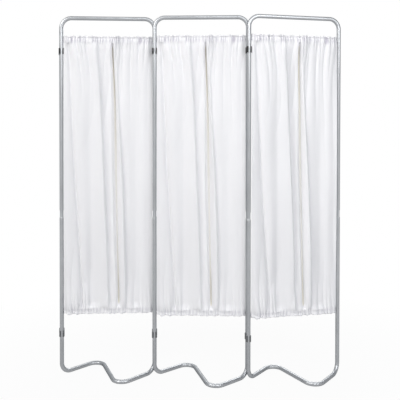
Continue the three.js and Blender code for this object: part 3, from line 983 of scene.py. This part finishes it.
def speckle(tree, vector, scale, detail, stretch=(1, 1, 1)):
    """Noise over a vector, stretched along its axes."""
    mapping = add_node(tree, "ShaderNodeMapping", {"Vector": vector, "Scale": stretch})
    pattern = add_node(tree, "ShaderNodeTexNoise", {
        "Vector": mapping.outputs["Vector"], "Scale": scale, "Detail": detail,
    })
    return pattern.outputs["Fac"]


def relief(tree, height, strength, distance):
    """The surface's normal with a fine relief in it."""
    bump = add_node(tree, "ShaderNodeBump", {
        "Height": height, "Strength": strength, "Distance": distance,
    })
    return bump.outputs["Normal"]


def drawn_metal(name, rgb, edge, roughness, line_depth):
    """Drawn metal: fine lines along the stock, cloudier patches, and a little handling wear."""
    material, tree, shader = new_finish(name, 1)
    stock = add_node(tree, "ShaderNodeAttribute", attribute_name="stock").outputs["Vector"]
    lines = speckle(tree, stock, scale=900, detail=3, stretch=(1, 1, 0.02))
    clouds = speckle(tree, stock, scale=38, detail=4, stretch=(1, 1, 0.35))
    scuffs = speckle(tree, stock, scale=210, detail=6, stretch=(1, 1, 0.5))
    tone = ranged(tree, clouds, NOISE_RANGE, (0, 1))
    base = blended(tree, tone, solid(rgb, 0.93), solid(rgb, 1.06))
    marks = ranged(tree, scuffs, (0.62, 0.72), (0, 1))
    cloudy = ranged(tree, clouds, NOISE_RANGE, (roughness - 0.04, roughness + 0.04))
    lined = ranged(tree, lines, NOISE_RANGE, (-0.04, 0.06))
    fill(tree, shader, {
        "Specular Tint": solid(edge),
        "Base Color": blended(tree, marks, base, solid(rgb, 0.82)),
        "Roughness": combined(tree, "ADD", cloudy, lined),
        "Normal": relief(tree, lines, strength=0.35, distance=line_depth),
    })
    return material


def drawn_aluminium(colours):
    return drawn_metal("satin_drawn_aluminium", colours.aluminium, colours.metal_edge, 0.4, 0.00003)


def rivet_aluminium(colours):
    return drawn_metal("rivet_aluminium", colours.rivet, colours.metal_edge, 0.28, 0.00002)


def plated_steel(colours):
    return drawn_metal("plated_rod_steel", colours.steel, colours.metal_edge, 0.3, 0.00003)


def moulded_plastic(name, rgb):
    """Dark plastic with a fine moulded grain and a little dust in it."""
    material, tree, shader = new_finish(name, 0)
    place = add_node(tree, "ShaderNodeTexCoord").outputs["Object"]
    grain = speckle(tree, place, scale=2600, detail=3)
    clouds = speckle(tree, place, scale=160, detail=5)
    dust = ranged(tree, clouds, (0.52, 0.75), (0, 0.6))
    fill(tree, shader, {
        "Base Color": blended(tree, dust, solid(rgb), solid(rgb, 1.9)),
        "Roughness": ranged(tree, grain, NOISE_RANGE, (0.4, 0.52)),
        "Normal": relief(tree, grain, strength=0.4, distance=0.00008),
    })
    return material


def sewn_line(tree, along, across, place, sizes):
    """1 on the stitches of a seam and 0 beside them."""
    off = combined(tree, "ABSOLUTE", combined(tree, "SUBTRACT", across, place))
    near = ranged(tree, off, (sizes.stitch_width / 2, sizes.stitch_width), (1, 0))
    beat = combined(tree, "SINE", combined(tree, "MULTIPLY", along, math.tau / sizes.stitch_pitch))
    return combined(tree, "MULTIPLY", near, ranged(tree, beat, (-0.5, 0.1), (0, 1)))


def curtain_cloth(colours, sizes, cut_length):
    """White plain-weave cloth with soft slubs and sewn seams, with painted shade: a warmer grey in
    its deepest fold and a cooler grey in the pinches at the rods."""
    material, tree, shader = new_finish("white_curtain_cloth", 0, 0.25)
    cut = add_node(tree, "ShaderNodeUVMap", uv_map="cut_cloth").outputs["UV"]
    run = add_node(tree, "ShaderNodeSeparateXYZ", {"Vector": cut}).outputs
    depth = add_node(tree, "ShaderNodeAttribute", attribute_name="fold_depth").outputs["Fac"]
    slubs = speckle(tree, cut, scale=900, detail=2, stretch=(1, 0.08, 1))
    clouds = speckle(tree, cut, scale=9, detail=4, stretch=(1, 0.5, 1))
    tone = ranged(tree, clouds, NOISE_RANGE, (0, 1))
    base = blended(tree, tone, solid(colours.cloth, 0.985), solid(colours.cloth, 1.01))
    # Painted shade: the deepest fold is tinted a warmer grey
    fold_shade_mask = ranged(tree, depth, (0.45, 0.75), (0, 1))
    # Painted shade: the pinches at the rods are tinted a cooler grey
    pinch_shade_mask = ranged(tree, depth, (0, -PINCH_SHADE_DEPTH), (0, 1))
    shaded = blended(tree, fold_shade_mask, base, solid(colours.painted_fold_shade))
    shaded = blended(tree, pinch_shade_mask, shaded, solid(colours.painted_pinch_shade))

    # A pocket's cloth runs there and back between its seam and its fold, and a little further to
    # pass the rod and to lap the seam
    further = sizes.pocket_reach * BACK_HEM_SHARE / 3
    around_top = 2 * (sizes.header_rise + sizes.pocket_reach)
    around_hem = 2 * (sizes.hem_drop + sizes.pocket_reach)
    pocket_seams = (cut_length - around_top - further, around_hem + further)
    side_seams = (sizes.side_hem, sizes.cut_width - sizes.side_hem)
    seams = [sewn_line(tree, run["X"], run["Y"], place, sizes) for place in pocket_seams]
    seams += [sewn_line(tree, run["Y"], run["X"], place, sizes) for place in side_seams]
    sewn = seams[0]
    for seam in seams[1:]:
        sewn = combined(tree, "MAXIMUM", sewn, seam)

    warp, weft = (
        add_node(tree, "ShaderNodeTexWave", {"Vector": cut, "Scale": WEAVE_SCALE}, bands_direction=axis)
        for axis in "XY"
    )
    woven = combined(tree, "MULTIPLY", warp.outputs["Fac"], weft.outputs["Fac"])
    threads = combined(tree, "ADD", woven, slubs)
    raised = combined(tree, "ADD", threads, combined(tree, "MULTIPLY", sewn, STITCH_RISE))
    fill(tree, shader, {
        "Base Color": blended(tree, sewn, shaded, solid(colours.thread)),
        "Roughness": ranged(tree, slubs, NOISE_RANGE, (0.72, 0.86)),
        "Sheen Weight": 0.15,
        "Sheen Roughness": 0.4,
        "Normal": relief(tree, raised, strength=0.3, distance=0.0002),
    })
    return material


# Stage

class StageSettings(bpy.types.PropertyGroup):
    """Camera and light of the studio"""
    camera_place: FloatVectorProperty(
        name="Camera place",
        description="Where the camera stands",
        default=(0.19323, -2.7, 1.14852),
        unit="LENGTH",
    )
    yaw: angle("Yaw", "Turn of the camera to the left", 2.25)
    pitch: angle("Pitch", "How far the camera looks down", 0.79)
    roll: angle("Roll", "Turn of the camera about its own line of sight", 0.1)
    focal_share: FloatProperty(
        name="Focal share", description="Focal length as a share of the sensor's width", default=1.44225
    )
    shift_x: FloatProperty(name="Shift X", description="Sideways shift of the frame", default=-0.0489)
    shift_y: FloatProperty(name="Shift Y", description="Upright shift of the frame", default=-0.1466)
    ambient: share("Ambient", "Strength of the room's own light", 0.31)
    room_tint: colour("Room tint", "Colour of the room's own light", (0.88, 0.925, 1))
    floor_size: length("Floor size", "Side of the floor", 30)
    near_reach: length("Near reach", "How far the floor round the screen reaches", 0.6)
    near_floor: share("Near floor", "How white the camera sees the near floor", 0.95)
    white_reach: length("White reach", "From where on the camera sees plain white", 1.7)
    mirrored_floor: share("Mirrored floor", "How white the near floor is mirrored", 0.6)
    mirrored_reach: length("Mirrored reach", "From where on the floor is mirrored plain white", 2.5)


# A soft lamp: where it stands, the point it shines at, its two sides, its watts and its colour
Lamp = namedtuple("Lamp", "name place aim sides watts colour", defaults=(WHITE,))

LAMPS = (
    Lamp("key_light", (-3.9, -3.7, 4.2), (0, 0, 1.3), (2.4, 2.4), 186, (1, 0.98, 0.95)),
    Lamp("front_light", (0.5, -3.4, 2.9), (0, 0, 1.4), (1.8, 1.6), 24),
    Lamp("fill_light", (1.9, -3.1, 2.4), (0.6, 0, 1.2), (1.4, 2), 51),
    Lamp("top_light", (0.1, -0.7, 3.4), (0, 0, 0.9), (2.4, 1.2), 8),
    Lamp("back_light", (0.6, 2.8, 2.6), (0, 0, 0.5), (2.6, 1.6), 50),
)

# How far a direction points backwards (0 is sideways, 1 is straight back) where the white backdrop
# begins and where it is full. Metal mirrors the rest of the room at the dim share.
BACKDROP_EDGE = (0.35, 0.7)
DIM_SHARE = 0.3


def studio_camera(scene):
    """A camera at the picture's viewpoint."""
    stage = scene.screen_stage
    data = bpy.data.cameras.new("studio_camera")
    data.sensor_width = 36
    data.lens = stage.focal_share * data.sensor_width
    data.shift_x = stage.shift_x
    data.shift_y = stage.shift_y
    forward = at(
        -math.sin(stage.yaw) * math.cos(stage.pitch),
        math.cos(stage.yaw) * math.cos(stage.pitch),
        -math.sin(stage.pitch),
    )
    level = at(math.cos(stage.yaw), math.sin(stage.yaw), 0)
    upward = level.cross(forward)
    tilt = Quaternion(-forward, stage.roll)
    axes = Matrix((tilt @ level, tilt @ upward, -forward)).transposed()
    camera = linked("studio_camera", data)
    camera.matrix_world = Matrix.Translation(stage.camera_place) @ axes.to_4x4()
    scene.camera = camera


def soft_light(lamp):
    """A rectangular lamp that shines at its aim."""
    data = bpy.data.lights.new(lamp.name, "AREA")
    data.shape = "RECTANGLE"
    data.size, data.size_y = lamp.sides
    data.energy = lamp.watts
    data.color = lamp.colour
    look = (Vector(lamp.aim) - Vector(lamp.place)).to_track_quat("-Z", "Y")
    light = linked(lamp.name, data)
    light.matrix_world = Matrix.Translation(lamp.place) @ look.to_matrix().to_4x4()


def looked_at(tree):
    """Whether the camera sees the studio, and whether a reflection or a glass does, as 0 or 1."""
    path = add_node(tree, "ShaderNodeLightPath").outputs
    mirrored = combined(tree, "MAXIMUM", path["Is Glossy Ray"], path["Is Transmission Ray"])
    return path["Is Camera Ray"], mirrored


def mixed_shader(tree, part, one, other):
    """A surface or background between two, by a socket from 0 to 1."""
    return add_node(tree, "ShaderNodeMixShader", {0: part, 1: one, 2: other}).outputs["Shader"]


def studio_world(scene):
    """A soft pale room, which shows as plain white to the camera, with a white backdrop behind
    the screen that the metal mirrors. The rest of the room is mirrored dimmer."""
    world = bpy.data.worlds.new("studio")
    world.use_nodes = True
    scene.world = world
    tree = world.node_tree
    tree.nodes.clear()
    direction = add_node(tree, "ShaderNodeTexCoord").outputs["Generated"]
    behind = add_node(tree, "ShaderNodeSeparateXYZ", {"Vector": direction}).outputs["Y"]
    camera, mirrored = looked_at(tree)
    backdrop = ranged(tree, behind, BACKDROP_EDGE, (DIM_SHARE, 1))
    seen = combined(tree, "MAXIMUM", camera, combined(tree, "MULTIPLY", mirrored, backdrop))
    stage = scene.screen_stage
    room, white = (
        add_node(tree, "ShaderNodeBackground", {"Color": solid(tint), "Strength": strength})
        for tint, strength in ((stage.room_tint, stage.ambient), (WHITE, 1))
    )
    shown = mixed_shader(tree, seen, room.outputs["Background"], white.outputs["Background"])
    add_node(tree, "ShaderNodeOutputWorld", {"Surface": shown})


def studio_floor(scene):
    """A pale floor that keeps a faint shadow near the screen and shows as white beyond it."""
    stage = scene.screen_stage
    bm = bmesh.new()
    bmesh.ops.create_grid(bm, x_segments=1, y_segments=1, size=stage.floor_size / 2)
    material, tree, shader = new_finish("studio_floor", 0, 0)
    fill(tree, shader, {"Base Color": solid(scene.screen_finishes.floor), "Roughness": 0.9})
    place = add_node(tree, "ShaderNodeTexCoord").outputs["Object"]
    away = add_node(tree, "ShaderNodeVectorMath", {0: place}, operation="LENGTH").outputs["Value"]
    camera, mirrored = looked_at(tree)
    to_camera = ranged(tree, away, (stage.near_reach, stage.white_reach), (stage.near_floor, 1))
    to_metal = ranged(tree, away, (stage.near_reach, stage.mirrored_reach), (stage.mirrored_floor, 1))
    direct = combined(tree, "MULTIPLY", camera, to_camera)
    reflected = combined(tree, "MULTIPLY", mirrored, to_metal)
    seen = combined(tree, "MAXIMUM", direct, reflected)
    white = add_node(tree, "ShaderNodeEmission", {"Color": solid(WHITE), "Strength": 1})
    surface = mixed_shader(tree, seen, shader.outputs["BSDF"], white.outputs["Emission"])
    tree.links.new(surface, tree.nodes["Material Output"].inputs["Surface"])
    floor = piece_from(bm, "studio_floor", material, Matrix.Identity(4))


class SCREEN_OT_stage(bpy.types.Operator):
    """Sets up the camera, the floor and soft studio light"""
    bl_idname = "folding_screen.stage"
    bl_label = "Set Up Studio"

    def execute(self, context):
        scene = context.scene
        scene.view_settings.view_transform = "Standard"
        studio_camera(scene)
        studio_world(scene)
        studio_floor(scene)
        for lamp in LAMPS:
            soft_light(lamp)
        return {"FINISHED"}


# Panel and registration

class SCREEN_PT_sidebar(bpy.types.Panel):
    """Lists the screen's pieces"""
    bl_idname = "SCREEN_PT_sidebar"
    bl_label = "Folding Screen"
    bl_space_type = "VIEW_3D"
    bl_region_type = "UI"
    bl_category = "Screen"

    def draw(self, context):
        for operator in OPERATORS:
            self.layout.operator(operator.bl_idname)


SETTINGS = {
    "screen_stand": StandSettings,
    "screen_frame": FrameSizes,
    "screen_rods": RodSizes,
    "screen_clips": ClipSizes,
    "screen_curtains": CurtainSizes,
    "screen_finishes": Finishes,
    "screen_stage": StageSettings,
}
OPERATORS = (
    SCREEN_OT_stage,
    SCREEN_OT_frames,
    SCREEN_OT_rivets,
    SCREEN_OT_rods,
    SCREEN_OT_clips,
    SCREEN_OT_curtains,
)
CLASSES = (*SETTINGS.values(), *OPERATORS, SCREEN_PT_sidebar)


def register():
    for item in CLASSES:
        bpy.utils.register_class(item)
    for name, group in SETTINGS.items():
        setattr(bpy.types.Scene, name, PointerProperty(type=group))


def unregister():
    for name in SETTINGS:
        delattr(bpy.types.Scene, name)
    for item in reversed(CLASSES):
        bpy.utils.unregister_class(item)


def main():
    register()
    bpy.ops.folding_screen.stage()
    bpy.ops.folding_screen.frames()
    bpy.ops.folding_screen.rivets()
    bpy.ops.folding_screen.rods()
    bpy.ops.folding_screen.clips()
    bpy.ops.folding_screen.curtains()


if __name__ == "__main__":
    main()
